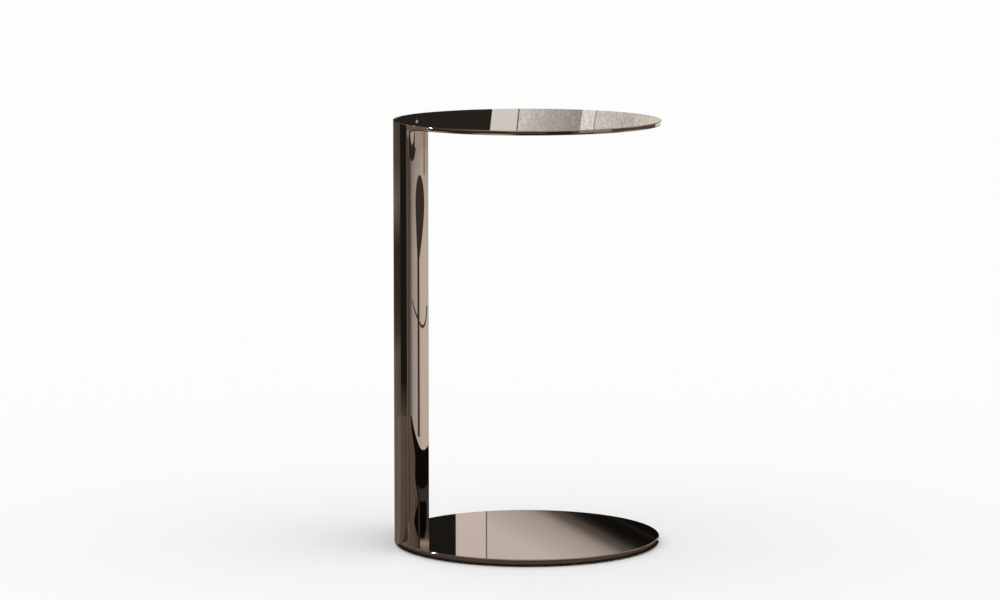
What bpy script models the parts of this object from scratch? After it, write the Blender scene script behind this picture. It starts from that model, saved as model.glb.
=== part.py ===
"""Corner table in polished dark-nickel steel.

A round top and an equal round base, one straight above the other, are joined at one side by a single sheet
rolled to their own radius. The sheet stands in notches cut in both rims, so its outer face carries on the
line of the rims from the upper face of the top down to the underside of the base. A curved flange inside
each end of the sheet takes the screws: one lies under the top, the other is let into the base from below.

Metres, +Z up. Z is the axis of both discs, Z = 0 is the floor and the post stands at -X.
"""

import math

import bmesh
import bpy
from mathutils import Matrix

# Overall form
TABLE_HEIGHT = 0.560
DISC_RADIUS = 0.175
TOP_THICKNESS = 0.006
BASE_THICKNESS = 0.008
RIM_EASE = 0.0012

# Rolled post, its width measured round the curve of the outer face
POST_WIDTH = 0.207
POST_THICKNESS = 0.003
POST_EASE = 0.0005

# Flanges inside the two ends of the post
FLANGE_DEPTH = 0.024
FLANGE_THICKNESS = 0.003
FLANGE_SETBACK = 0.005
FLANGE_EASE = 0.0004

# Screws through the flanges
SCREW_COUNT = 4
SCREW_SPACING = 0.044
SCREW_RADIUS = 0.0025
THREAD_COVER = 0.0014
BUTTON_HEAD_RADIUS = 0.00475
BUTTON_HEAD_HEIGHT = 0.00275
BUTTON_FLAT_RADIUS = 0.0027
BUTTON_RIM_HEIGHT = 0.0005
SUNK_HEAD_RADIUS = 0.0046
SOCKET_ACROSS_FLATS = 0.003
SOCKET_DEPTH = 0.0015

# Floor pads
PAD_COUNT = 5
PAD_RADIUS = 0.010
PAD_CIRCLE_RADIUS = 0.148
PAD_FIRST_ANGLE = math.radians(-135)
PAD_LAST_ANGLE = math.radians(135)
PAD_STAND = 0.002
PAD_SEAT_DEPTH = 0.001
PAD_EASE = 0.0005

# Fits and fineness
CLEARANCE = 0.0003
OVERCUT = 0.002
DISC_SEGMENTS = 120
POST_STEPS = 36
EASE_STEPS = 2
DOME_STEPS = 3
SCREW_SEGMENTS = 24
PAD_SEGMENTS = 32

# Levels and radii that follow from the sizes above
BASE_BOTTOM = PAD_STAND
BASE_TOP = BASE_BOTTOM + BASE_THICKNESS
TOP_BOTTOM = TABLE_HEIGHT - TOP_THICKNESS
POST_INNER_RADIUS = DISC_RADIUS - POST_THICKNESS
POST_HALF_ANGLE = POST_WIDTH / DISC_RADIUS / 2
NOTCH_RADIUS = POST_INNER_RADIUS - CLEARANCE
FLANGE_OUTER_RADIUS = POST_INNER_RADIUS - CLEARANCE
FLANGE_INNER_RADIUS = FLANGE_OUTER_RADIUS - FLANGE_DEPTH
FLANGE_HALF_ANGLE = POST_HALF_ANGLE - FLANGE_SETBACK / DISC_RADIUS
FOOT_FLANGE_TOP = BASE_BOTTOM + FLANGE_THICKNESS
TOP_FLANGE_TOP = TOP_BOTTOM - CLEARANCE
TOP_FLANGE_BOTTOM = TOP_FLANGE_TOP - FLANGE_THICKNESS
SCREW_CIRCLE_RADIUS = (FLANGE_INNER_RADIUS + FLANGE_OUTER_RADIUS) / 2
SCREW_HOLE_RADIUS = SCREW_RADIUS + CLEARANCE
TOP_THREAD_END = TABLE_HEIGHT - THREAD_COVER
FOOT_THREAD_END = BASE_TOP - THREAD_COVER
POST_DIRECTION = math.pi


def clear_scene():
    for old in list(bpy.data.objects):
        bpy.data.objects.remove(old, do_unlink=True)


def make_material(name, color, metallic, roughness):
    material = bpy.data.materials.new(name)
    material.use_nodes = True
    shader = material.node_tree.nodes["Principled BSDF"]
    shader.inputs["Base Color"].default_value = (*color, 1)
    shader.inputs["Metallic"].default_value = metallic
    shader.inputs["Roughness"].default_value = roughness
    return material


def add_piece(name, bm, material, smooth_angle=math.radians(35)):
    """Make a bmesh into an object under the table's empty, smooth apart from its sharp edges."""
    bmesh.ops.recalc_face_normals(bm, faces=bm.faces)
    mesh = bpy.data.meshes.new(name)
    bm.to_mesh(mesh)
    bm.free()
    mesh.materials.append(material)
    mesh.shade_smooth()
    mesh.set_sharp_from_angle(angle=smooth_angle)
    piece = bpy.data.objects.new(name, mesh)
    bpy.context.collection.objects.link(piece)
    piece.parent = table
    return piece


def add_cutter(name, bm):
    """Make a bmesh into a hidden body for a Boolean to take away."""
    bmesh.ops.recalc_face_normals(bm, faces=bm.faces)
    mesh = bpy.data.meshes.new(name)
    bm.to_mesh(mesh)
    bm.free()
    cutter = bpy.data.objects.new(name, mesh)
    bpy.context.collection.objects.link(cutter)
    cutter.parent = table
    cutter.display_type = "WIRE"
    cutter.hide_render = True
    return cutter


def cut(piece, cutter):
    modifier = piece.modifiers.new(cutter.name, "BOOLEAN")
    modifier.operation = "DIFFERENCE"
    modifier.solver = "EXACT"
    modifier.object = cutter


def quarter_arc(center_radius, center_height, ease, start):
    """Points of a quarter round in the (radius, height) plane, turning to the left from the angle start."""
    points = []
    for step in range(EASE_STEPS + 1):
        angle = start + math.pi / 2 * step / EASE_STEPS
        points.append((center_radius + ease * math.cos(angle), center_height + ease * math.sin(angle)))
    return points


def eased_outline(radius, bottom, top, ease):
    """Edge of a round plate from its lower face to its upper face, both corners rounded."""
    lower = quarter_arc(radius - ease, bottom + ease, ease, -math.pi / 2)
    upper = quarter_arc(radius - ease, top - ease, ease, 0)
    return lower + upper


def turn(bm, outline, segments, center=(0, 0)):
    """Turn an outline of (radius, height) points about a vertical axis and close both ends flat."""
    verts = [bm.verts.new((center[0] + radius, center[1], height)) for radius, height in outline]
    edges = [bm.edges.new(pair) for pair in zip(verts, verts[1:])]
    bmesh.ops.spin(
        bm,
        geom=verts + edges,
        cent=(center[0], center[1], 0),
        axis=(0, 0, 1),
        angle=math.tau,
        steps=segments,
        use_merge=True,
    )
    ends = [edge for edge in bm.edges if edge.is_boundary]
    bmesh.ops.holes_fill(bm, edges=ends, sides=segments)


def cylinder(bm, radius, bottom, top, segments, center):
    turn(bm, [(radius, bottom), (radius, top)], segments, center)


def roll_strip(bm, inner, outer, bottom, top, half_angle):
    """Sweep an upright rectangle round the discs' axis, centred on the post's side."""
    start = Matrix.Rotation(POST_DIRECTION - half_angle, 4, "Z")
    corners = [(inner, 0, bottom), (outer, 0, bottom), (outer, 0, top), (inner, 0, top)]
    verts = [bm.verts.new(corner) for corner in corners]
    face = bm.faces.new(verts)
    bmesh.ops.transform(bm, matrix=start, verts=verts)
    bmesh.ops.spin(
        bm,
        geom=verts + list(face.edges) + [face],
        cent=(0, 0, 0),
        axis=(0, 0, 1),
        angle=2 * half_angle,
        steps=POST_STEPS,
    )
    bmesh.ops.recalc_face_normals(bm, faces=bm.faces)


def ease_sharp_edges(bm, width):
    sharp = [edge for edge in bm.edges if edge.calc_face_angle(0) > math.radians(60)]
    bmesh.ops.bevel(bm, geom=sharp, offset=width, segments=EASE_STEPS, profile=0.5, affect="EDGES")


def screw_places():
    """Centres of the screws, spaced evenly on their circle about the post's side."""
    pitch = SCREW_SPACING / SCREW_CIRCLE_RADIUS
    places = []
    for index in range(SCREW_COUNT):
        angle = POST_DIRECTION + pitch * (index - (SCREW_COUNT - 1) / 2)
        places.append((SCREW_CIRCLE_RADIUS * math.cos(angle), SCREW_CIRCLE_RADIUS * math.sin(angle)))
    return places


def pad_places():
    places = []
    for index in range(PAD_COUNT):
        angle = PAD_FIRST_ANGLE + (PAD_LAST_ANGLE - PAD_FIRST_ANGLE) * index / (PAD_COUNT - 1)
        places.append((PAD_CIRCLE_RADIUS * math.cos(angle), PAD_CIRCLE_RADIUS * math.sin(angle)))
    return places


def notch_cutter(name, bottom, top):
    """Body that clears a rim for the post, open to the outside."""
    bm = bmesh.new()
    half_angle = POST_HALF_ANGLE + CLEARANCE / DISC_RADIUS
    roll_strip(bm, NOTCH_RADIUS, DISC_RADIUS + OVERCUT, bottom - OVERCUT, top + OVERCUT, half_angle)
    return add_cutter(name, bm)


def screw_hole_cutter(name, bottom, top):
    bm = bmesh.new()
    for place in screw_places():
        cylinder(bm, SCREW_HOLE_RADIUS, bottom, top, SCREW_SEGMENTS, place)
    return add_cutter(name, bm)


def make_top():
    bm = bmesh.new()
    turn(bm, eased_outline(DISC_RADIUS, TOP_BOTTOM, TABLE_HEIGHT, RIM_EASE), DISC_SEGMENTS)
    top = add_piece("top_disc", bm, dark_nickel)
    cut(top, notch_cutter("top_notch", TOP_BOTTOM, TABLE_HEIGHT))
    cut(top, screw_hole_cutter("top_threads", TOP_BOTTOM - OVERCUT, TOP_THREAD_END))


def make_base():
    bm = bmesh.new()
    turn(bm, eased_outline(DISC_RADIUS, BASE_BOTTOM, BASE_TOP, RIM_EASE), DISC_SEGMENTS)
    base = add_piece("base_disc", bm, dark_nickel)
    cut(base, notch_cutter("base_notch", BASE_BOTTOM, BASE_TOP))

    # Recess for the foot flange, running out into the notch
    bm = bmesh.new()
    inner = FLANGE_INNER_RADIUS - CLEARANCE
    outer = (NOTCH_RADIUS + DISC_RADIUS) / 2
    half_angle = FLANGE_HALF_ANGLE + CLEARANCE / FLANGE_INNER_RADIUS
    roll_strip(bm, inner, outer, BASE_BOTTOM - OVERCUT, FOOT_FLANGE_TOP + CLEARANCE, half_angle)
    cut(base, add_cutter("foot_recess", bm))

    cut(base, screw_hole_cutter("foot_threads", BASE_BOTTOM - OVERCUT, FOOT_THREAD_END))

    bm = bmesh.new()
    for place in pad_places():
        seat_top = BASE_BOTTOM + PAD_SEAT_DEPTH
        cylinder(bm, PAD_RADIUS + CLEARANCE, BASE_BOTTOM - OVERCUT, seat_top, PAD_SEGMENTS, place)
    cut(base, add_cutter("pad_seats", bm))


def make_post():
    bm = bmesh.new()
    roll_strip(bm, POST_INNER_RADIUS, DISC_RADIUS, BASE_BOTTOM, TABLE_HEIGHT, POST_HALF_ANGLE)
    ease_sharp_edges(bm, POST_EASE)
    add_piece("post_plate", bm, dark_nickel)


def make_flange(name, bottom):
    bm = bmesh.new()
    top = bottom + FLANGE_THICKNESS
    roll_strip(bm, FLANGE_INNER_RADIUS, FLANGE_OUTER_RADIUS, bottom, top, FLANGE_HALF_ANGLE)
    ease_sharp_edges(bm, FLANGE_EASE)
    flange = add_piece(name, bm, dark_nickel)
    cut(flange, screw_hole_cutter(name + "_holes", bottom - OVERCUT, top + OVERCUT))
    return flange


def make_foot_flange():
    flange = make_flange("foot_flange", BASE_BOTTOM)

    # Countersinks, drawn a little below the flange so that the cut has a clear mouth
    bm = bmesh.new()
    mouth = SUNK_HEAD_RADIUS + CLEARANCE
    throat = SCREW_HOLE_RADIUS - CLEARANCE
    for place in screw_places():
        cone = [(mouth + OVERCUT, BASE_BOTTOM - OVERCUT), (throat, BASE_BOTTOM + mouth - throat)]
        turn(bm, cone, SCREW_SEGMENTS, place)
    cut(flange, add_cutter("foot_countersinks", bm))


def press_socket(bm, level):
    """Draw the flat end of a screw head in to a hexagon and push it up into the head."""
    bm.faces.ensure_lookup_table()
    end = min(bm.faces, key=lambda face: face.calc_center_median().z)
    bmesh.ops.inset_region(bm, faces=[end], thickness=SOCKET_ACROSS_FLATS / 4)
    sixth = math.pi / 3
    for vert in end.verts:
        angle = math.atan2(vert.co.y, vert.co.x)
        from_flat = angle - sixth * round(angle / sixth)
        reach = SOCKET_ACROSS_FLATS / 2 / math.cos(from_flat)
        vert.co.x = reach * math.cos(angle)
        vert.co.y = reach * math.sin(angle)
    pushed = bmesh.ops.extrude_face_region(bm, geom=[end])
    floor = [item for item in pushed["geom"] if isinstance(item, bmesh.types.BMVert)]
    bmesh.ops.delete(bm, geom=[end], context="FACES_ONLY")
    for vert in floor:
        vert.co.z = level + SOCKET_DEPTH


def make_screws(group, outline):
    """One screw turned from its outline, then a copy at each place."""
    lowest = outline[0][1]
    for number, place in enumerate(screw_places(), start=1):
        bm = bmesh.new()
        turn(bm, outline, SCREW_SEGMENTS)
        press_socket(bm, lowest)
        screw = add_piece(f"{group}_{number}", bm, screw_steel)
        screw.location = (*place, 0)


def make_top_screws():
    seat = TOP_FLANGE_BOTTOM - CLEARANCE
    rim = seat - BUTTON_RIM_HEIGHT
    dome_height = BUTTON_HEAD_HEIGHT - BUTTON_RIM_HEIGHT
    dome_width = BUTTON_HEAD_RADIUS - BUTTON_FLAT_RADIUS
    outline = []
    for step in range(DOME_STEPS + 1):
        angle = math.pi / 2 * step / DOME_STEPS
        radius = BUTTON_FLAT_RADIUS + dome_width * math.sin(angle)
        outline.append((radius, rim - dome_height * math.cos(angle)))
    outline += [(BUTTON_HEAD_RADIUS, seat), (SCREW_RADIUS, seat), (SCREW_RADIUS, TOP_THREAD_END - CLEARANCE)]
    make_screws("top_screw", outline)


def make_foot_screws():
    outline = [
        (SUNK_HEAD_RADIUS, BASE_BOTTOM),
        (SCREW_RADIUS, BASE_BOTTOM + SUNK_HEAD_RADIUS - SCREW_RADIUS),
        (SCREW_RADIUS, FOOT_THREAD_END - CLEARANCE),
    ]
    make_screws("foot_screw", outline)


def make_pads():
    for number, place in enumerate(pad_places(), start=1):
        bm = bmesh.new()
        top = BASE_BOTTOM + PAD_SEAT_DEPTH - CLEARANCE
        turn(bm, eased_outline(PAD_RADIUS, 0, top, PAD_EASE), PAD_SEGMENTS)
        pad = add_piece(f"floor_pad_{number}", bm, pad_rubber)
        pad.location = (*place, 0)


clear_scene()
table = bpy.data.objects.new("corner_table", None)
bpy.context.collection.objects.link(table)

dark_nickel = make_material("dark_nickel", (0.42, 0.38, 0.34), 1.0, 0.06)
screw_steel = make_material("screw_steel", (0.10, 0.10, 0.10), 1.0, 0.35)
pad_rubber = make_material("pad_rubber", (0.03, 0.03, 0.03), 0.0, 0.80)

make_top()
make_base()
make_post()
make_flange("top_flange", TOP_FLANGE_BOTTOM)
make_foot_flange()
make_top_screws()
make_foot_screws()
make_pads()
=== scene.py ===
# %% [markdown]
# # A corner table in polished dark nickel
# The real table is three big polished pieces: a round top, an equal round base, and one sheet of steel
# that is rolled to their radius and joins them at one side. Curved flanges, socket screws and rubber
# pads do the quiet work where nobody looks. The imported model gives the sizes, and this lesson makes the
# surfaces: round rims without facets, eased edges that catch the light, and a plating that acts as a
# mirror.

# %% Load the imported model
import math

import bmesh
import bpy
from mathutils import Matrix, Vector


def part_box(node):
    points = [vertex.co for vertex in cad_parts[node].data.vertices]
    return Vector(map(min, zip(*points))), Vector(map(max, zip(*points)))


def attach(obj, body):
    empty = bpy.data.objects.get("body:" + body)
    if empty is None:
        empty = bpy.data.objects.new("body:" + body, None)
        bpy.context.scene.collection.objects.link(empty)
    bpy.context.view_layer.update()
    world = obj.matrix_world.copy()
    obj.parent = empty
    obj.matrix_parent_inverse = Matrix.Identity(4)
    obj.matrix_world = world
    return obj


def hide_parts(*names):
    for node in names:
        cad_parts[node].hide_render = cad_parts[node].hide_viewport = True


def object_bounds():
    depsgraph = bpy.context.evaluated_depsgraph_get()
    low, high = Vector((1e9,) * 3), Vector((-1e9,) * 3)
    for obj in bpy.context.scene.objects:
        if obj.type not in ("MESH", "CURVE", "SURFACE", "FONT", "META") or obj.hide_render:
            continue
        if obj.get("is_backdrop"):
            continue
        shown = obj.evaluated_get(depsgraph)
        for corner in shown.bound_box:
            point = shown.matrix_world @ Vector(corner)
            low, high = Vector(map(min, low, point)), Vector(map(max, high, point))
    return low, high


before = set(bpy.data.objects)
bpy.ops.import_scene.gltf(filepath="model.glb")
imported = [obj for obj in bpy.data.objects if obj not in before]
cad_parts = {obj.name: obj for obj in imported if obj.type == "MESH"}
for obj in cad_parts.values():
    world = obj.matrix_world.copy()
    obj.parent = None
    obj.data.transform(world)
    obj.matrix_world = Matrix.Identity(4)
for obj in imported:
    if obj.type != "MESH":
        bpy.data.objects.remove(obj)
cad_low, cad_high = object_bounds()
cad_size = [round(1000 * side) for side in cad_high - cad_low]
print("packed model:", len(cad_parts), "nodes,", cad_size, "mm")

# %% [markdown]
# ## The camera
# A long lens from five metres away flattens the discs to two narrow ellipses, so the camera comes first:
# every size is then judged through it. It stands a little above the top and looks slightly down. The
# table stands right of the middle because the camera is turned a fraction of a degree to the left.

# %% Camera
CAMERA_DISTANCE = 5.064
CAMERA_HEIGHT = 0.983
CAMERA_AZIMUTH = math.radians(6.04)
CAMERA_TURN = math.radians(0.401)
CAMERA_TILT = math.radians(7.434)
CAMERA_LENS = 140.0
SENSOR_WIDTH = 36
VIEW_END = 200

bpy.ops.object.camera_add(
    location=(
        CAMERA_DISTANCE * math.sin(CAMERA_AZIMUTH),
        -CAMERA_DISTANCE * math.cos(CAMERA_AZIMUTH),
        CAMERA_HEIGHT,
    ),
    rotation=(math.pi / 2 - CAMERA_TILT, 0, CAMERA_AZIMUTH + CAMERA_TURN),
)
camera = bpy.context.object
camera.data.lens = CAMERA_LENS
camera.data.sensor_width = SENSOR_WIDTH
camera.data.clip_end = VIEW_END
bpy.context.scene.camera = camera
print("camera at", [round(value, 3) for value in camera.location], "m, lens", CAMERA_LENS, "mm")

# %% [markdown]
# ## Sizes from the frame
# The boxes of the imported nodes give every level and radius. Only what a box can't show is written out:
# the gauge and the width of the rolled sheet, the fit of one piece in another and, where they are first
# needed, the eases on the edges.

# %% Levels and radii
top_low, top_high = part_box("top_disc")
base_low, base_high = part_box("base_disc")
post_low, post_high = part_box("post_plate")
DISC_RADIUS = top_high.x
POST_WIDTH = 0.207
POST_GAUGE = 0.003
POST_INNER_RADIUS = DISC_RADIUS - POST_GAUGE
POST_HALF_ANGLE = POST_WIDTH / DISC_RADIUS / 2
FIT = 0.0001
post_span = 2 * math.degrees(POST_HALF_ANGLE)
print(f"disc radius {1000 * DISC_RADIUS:.1f} mm, the post spans {post_span:.1f} degrees")


# %% [markdown]
# ## Hand tools
# Everything below is modelled as by hand: a primitive, then edit mode. An operator works on whatever is
# selected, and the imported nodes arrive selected, so each piece starts with nothing selected at all.
# Inside edit mode the edges and faces are picked in code, by where they lie.

# %% Starting a piece and picking its elements
def make_active(piece):
    bpy.ops.object.select_all(action="DESELECT")
    piece.select_set(True)
    bpy.context.view_layer.objects.active = piece


def start_piece(name, add_primitive, stretch=(1, 1, 1), **sizes):
    """Add a primitive with nothing else selected, name and stretch it, and put its place into its mesh."""
    bpy.ops.object.select_all(action="DESELECT")
    add_primitive(**sizes)
    piece = bpy.context.object
    piece.name = name
    piece.data.name = name
    piece.scale = stretch
    bpy.ops.object.transform_apply(location=True, rotation=True, scale=True)
    return piece


def edit(piece):
    make_active(piece)
    bpy.ops.object.mode_set(mode="EDIT")
    bpy.ops.mesh.select_all(action="SELECT")


def leave_edit():
    bpy.ops.object.mode_set(mode="OBJECT")


def pick(piece, kind, wanted):
    """In edit mode, select only the edges or faces that pass a test."""
    bpy.ops.mesh.select_mode(type=kind)
    bpy.ops.mesh.select_all(action="DESELECT")
    shape = bmesh.from_edit_mesh(piece.data)
    for element in shape.edges if kind == "EDGE" else shape.faces:
        if wanted(element):
            element.select_set(True)
    shape.select_flush_mode()
    bmesh.update_edit_mesh(piece.data)


# %% [markdown]
# A mirror forgives nothing in its shading. Where a flat face meets a rounded edge, plain smooth shading
# bends the flat face's normals and the whole reflection swims. The Weighted Normal modifier lets the
# large faces win, so flats stay flat and only the ease turns the light. Cuts are Booleans, applied at
# once.

# %% Cutting and shading
SMOOTH_ANGLE = math.radians(40)


def apply_modifier(piece, kind, **settings):
    make_active(piece)
    modifier = piece.modifiers.new(kind.lower(), kind)
    for name, value in settings.items():
        setattr(modifier, name, value)
    bpy.ops.object.modifier_apply(modifier=modifier.name)


def cut_away(piece, cutter):
    apply_modifier(piece, "BOOLEAN", operation="DIFFERENCE", solver="EXACT", object=cutter)
    bpy.data.objects.remove(cutter, do_unlink=True)


def shade(piece):
    make_active(piece)
    bpy.ops.object.shade_smooth_by_angle(angle=SMOOTH_ANGLE)
    apply_modifier(piece, "WEIGHTED_NORMAL", mode="FACE_AREA", weight=100, keep_sharp=True)


# %% [markdown]
# ## Rolled strips
# The post, both flanges and the notches that the post stands in are all one shape: an upright rectangle
# swept round the discs' axis. In the workshop a sheet is rolled between three rollers, and here Spin does
# the same. A plane is stood on edge at one end of the arc and spun to the other. With no window open,
# Spin turns clockwise, so the strip starts at the far end of its arc. Spin leaves some faces turned
# inwards, so the doubles are merged and the normals recalculated.

# %% Rolling a strip
ROLL_STEPS = 120
MERGE = 0.000001
SHARP_ANGLE = math.radians(60)


def roll_strip(name, inner, outer, low, high, half_angle):
    """An upright rectangle swept round Z and centred on the post's side, -X."""
    far_end = math.pi + half_angle
    middle = (inner + outer) / 2
    strip = start_piece(
        name,
        bpy.ops.mesh.primitive_plane_add,
        stretch=(outer - inner, high - low, 1),
        size=1,
        rotation=(math.pi / 2, 0, far_end),
        location=(middle * math.cos(far_end), middle * math.sin(far_end), (low + high) / 2),
    )
    edit(strip)
    bpy.ops.mesh.spin(steps=ROLL_STEPS, angle=2 * half_angle, center=(0, 0, 0), axis=(0, 0, 1))
    bpy.ops.mesh.select_all(action="SELECT")
    bpy.ops.mesh.remove_doubles(threshold=MERGE)
    bpy.ops.mesh.normals_make_consistent(inside=False)
    leave_edit()
    return strip


def ease_edges(piece, width, segments):
    """Round every sharp edge of a strip."""
    edit(piece)
    bpy.ops.mesh.select_mode(type="EDGE")
    bpy.ops.mesh.select_all(action="DESELECT")
    bpy.ops.mesh.edges_select_sharp(sharpness=SHARP_ANGLE)
    bpy.ops.mesh.bevel(offset=width, segments=segments, profile=0.5, affect="EDGES")
    leave_edit()


# %% [markdown]
# ## The post
# One sheet, 3 mm thick, rolled to the discs' radius and polished on both faces. Its long edges are only
# broken with a stone, so the ease is half a millimetre. It stands in the rims of both discs, and its
# outer face carries on the line of the rims from the upper face of the top to the underside of the base.

# %% Rolled post
POST_EASE = 0.0005

post = roll_strip("rolled_post", POST_INNER_RADIUS, DISC_RADIUS, post_low.z, post_high.z, POST_HALF_ANGLE)
ease_edges(post, POST_EASE, segments=3)
shade(post)
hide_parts("post_plate")
print("post:", len(post.data.polygons), "faces,", round(1000 * post.dimensions.z), "mm high")

# %% [markdown]
# ## Top and base
# Each is a disc cut from polished plate with both rims eased to a soft round. A cylinder gives the plate,
# a bevel along its two end loops gives the eases. A turned profile would do as well, but the cylinder's
# end stays one flat face, and a mirror wants its flats in one piece. A notch in the rim takes the post.

# %% Round plates
RIM_POINTS = 288
RIM_EASE = 0.0012
RIM_SEGMENTS = 5
OVERCUT = 0.002


def round_plate(name, low, high):
    plate = start_piece(
        name,
        bpy.ops.mesh.primitive_cylinder_add,
        vertices=RIM_POINTS,
        radius=DISC_RADIUS,
        depth=high - low,
        location=(0, 0, (low + high) / 2),
    )
    edit(plate)
    pick(plate, "EDGE", lambda edge: abs(edge.verts[0].co.z - edge.verts[1].co.z) < MERGE)
    bpy.ops.mesh.bevel(offset=RIM_EASE, segments=RIM_SEGMENTS, profile=0.5, affect="EDGES")
    leave_edit()
    notch = roll_strip(
        name + "_notch",
        POST_INNER_RADIUS - FIT,
        DISC_RADIUS + OVERCUT,
        low - OVERCUT,
        high + OVERCUT,
        POST_HALF_ANGLE + FIT / DISC_RADIUS,
    )
    cut_away(plate, notch)
    return plate


# %% [markdown]
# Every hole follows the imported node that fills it: the middle of the node's box gives the axis, and its
# highest corner gives the depth. A hole is a cylinder that is cut away.

# %% Holes and what fills them
HOLE_POINTS = 48
SHANK_RADIUS = 0.0025


def drill(plate, center, radius, low, high):
    """Cut a round hole between two levels."""
    bit = start_piece(
        "bit",
        bpy.ops.mesh.primitive_cylinder_add,
        vertices=HOLE_POINTS,
        radius=radius,
        depth=high - low,
        location=(center.x, center.y, (low + high) / 2),
    )
    cut_away(plate, bit)


def node_axis(node):
    """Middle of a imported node's box, on the axis of a round piece."""
    low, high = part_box(node)
    return (low + high) / 2


def nodes_of(group):
    return sorted(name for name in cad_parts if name.startswith(group))


TOP_SCREWS = nodes_of("top_screw_")
FOOT_SCREWS = nodes_of("foot_screw_")
PADS = nodes_of("floor_pad_")
print("holes for", len(TOP_SCREWS), "and", len(FOOT_SCREWS), "screws and", len(PADS), "pads")

# %% Top
top = round_plate("polished_top", top_low.z, top_high.z)
for node in TOP_SCREWS:
    drill(top, node_axis(node), SHANK_RADIUS + FIT, top_low.z - OVERCUT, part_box(node)[1].z + FIT)
shade(top)
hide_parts("top_disc")
print("top:", len(top.data.polygons), "faces,", len(TOP_SCREWS), "blind holes")

# %% [markdown]
# The base carries more on its hidden side: a curved recess for the foot flange, blind holes for its
# screws and shallow seats for the pads.

# %% Base
flange_low, flange_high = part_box("foot_flange")
FLANGE_DEPTH = 0.024
FLANGE_SETBACK = 0.005
FLANGE_OUTER_RADIUS = POST_INNER_RADIUS - FIT
FLANGE_INNER_RADIUS = FLANGE_OUTER_RADIUS - FLANGE_DEPTH
FLANGE_HALF_ANGLE = POST_HALF_ANGLE - FLANGE_SETBACK / DISC_RADIUS

base = round_plate("polished_base", base_low.z, base_high.z)
recess = roll_strip(
    "recess",
    FLANGE_INNER_RADIUS - FIT,
    POST_INNER_RADIUS + FIT,
    base_low.z - OVERCUT,
    flange_high.z + FIT,
    FLANGE_HALF_ANGLE + FIT / FLANGE_INNER_RADIUS,
)
cut_away(base, recess)
for node in FOOT_SCREWS:
    drill(base, node_axis(node), SHANK_RADIUS + FIT, base_low.z - OVERCUT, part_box(node)[1].z + FIT)
for node in PADS:
    pad_low, pad_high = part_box(node)
    seat_radius = (pad_high.x - pad_low.x) / 2 + FIT
    drill(base, node_axis(node), seat_radius, base_low.z - OVERCUT, pad_high.z + FIT)
shade(base)
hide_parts("base_disc")
print("base:", len(base.data.polygons), "faces,", len(PADS), "pad seats")

# %% [markdown]
# ## Flanges
# A curved strip inside each end of the post takes the screws. The upper one lies against the underside of
# the top, with round holes. The lower one is let into the base from below and its holes are countersunk,
# so that the screw heads finish flush and the base can stand close to the floor.

# %% Flanges with their holes
FLANGE_EASE = 0.0004
SUNK_HEAD_RADIUS = 0.0046


def curved_flange(name, node, screws):
    low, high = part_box(node)
    flange = roll_strip(name, FLANGE_INNER_RADIUS, FLANGE_OUTER_RADIUS, low.z, high.z, FLANGE_HALF_ANGLE)
    ease_edges(flange, FLANGE_EASE, segments=2)
    for screw in screws:
        drill(flange, node_axis(screw), SHANK_RADIUS + FIT, low.z - OVERCUT, high.z + OVERCUT)
    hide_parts(node)
    return flange


top_flange = curved_flange("curved_top_flange", "top_flange", TOP_SCREWS)
shade(top_flange)

foot_flange = curved_flange("curved_foot_flange", "foot_flange", FOOT_SCREWS)
sink_radius = SUNK_HEAD_RADIUS + FIT + OVERCUT
sink_depth = sink_radius - SHANK_RADIUS
for node in FOOT_SCREWS:
    center = node_axis(node)
    sink = start_piece(
        "sink",
        bpy.ops.mesh.primitive_cone_add,
        vertices=HOLE_POINTS,
        radius1=sink_radius,
        radius2=SHANK_RADIUS,
        depth=sink_depth,
        location=(center.x, center.y, flange_low.z - OVERCUT + sink_depth / 2),
    )
    cut_away(foot_flange, sink)
shade(foot_flange)
print("flanges:", len(top_flange.data.polygons), "and", len(foot_flange.data.polygons), "faces")

# %% [markdown]
# ## Screws
# The upper screws have button heads, the lower ones countersunk heads, all with a hexagon socket. Each
# kind is modelled once on its first place and then copied, each copy with a mesh of its own. The button
# starts as a cylinder whose lower edge is bevelled to a dome. The upper face is inset to the shank's
# radius and extruded.

# %% Socket screws
SCREW_POINTS = 48
BUTTON_HEAD_RADIUS = 0.00475
BUTTON_HEAD_HEIGHT = 0.00275
BUTTON_DOME = 0.00205
SOCKET_SIDES = 6
SOCKET_ACROSS_FLATS = 0.003
SOCKET_DEPTH = 0.0015
TIP_EASE = 0.0004
MOUTH_EASE = 0.0002
NEARLY_LEVEL = 0.9


def raise_shank(screw, head_radius, top):
    """Inset the upper face of a head to the shank and extrude it up to its tip."""
    highest = max(vert.co.z for vert in screw.data.vertices)
    level = highest - MERGE
    edit(screw)
    pick(screw, "FACE", lambda face: face.normal.z > NEARLY_LEVEL and face.calc_center_median().z > level)
    if head_radius > SHANK_RADIUS:
        bpy.ops.mesh.inset(thickness=head_radius - SHANK_RADIUS)
    bpy.ops.mesh.extrude_region_move(TRANSFORM_OT_translate={"value": (0, 0, top - highest)})
    pick(screw, "EDGE", lambda edge: min(vert.co.z for vert in edge.verts) > top - MERGE)
    bpy.ops.mesh.bevel(offset=TIP_EASE, segments=1, affect="EDGES")
    leave_edit()


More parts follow.
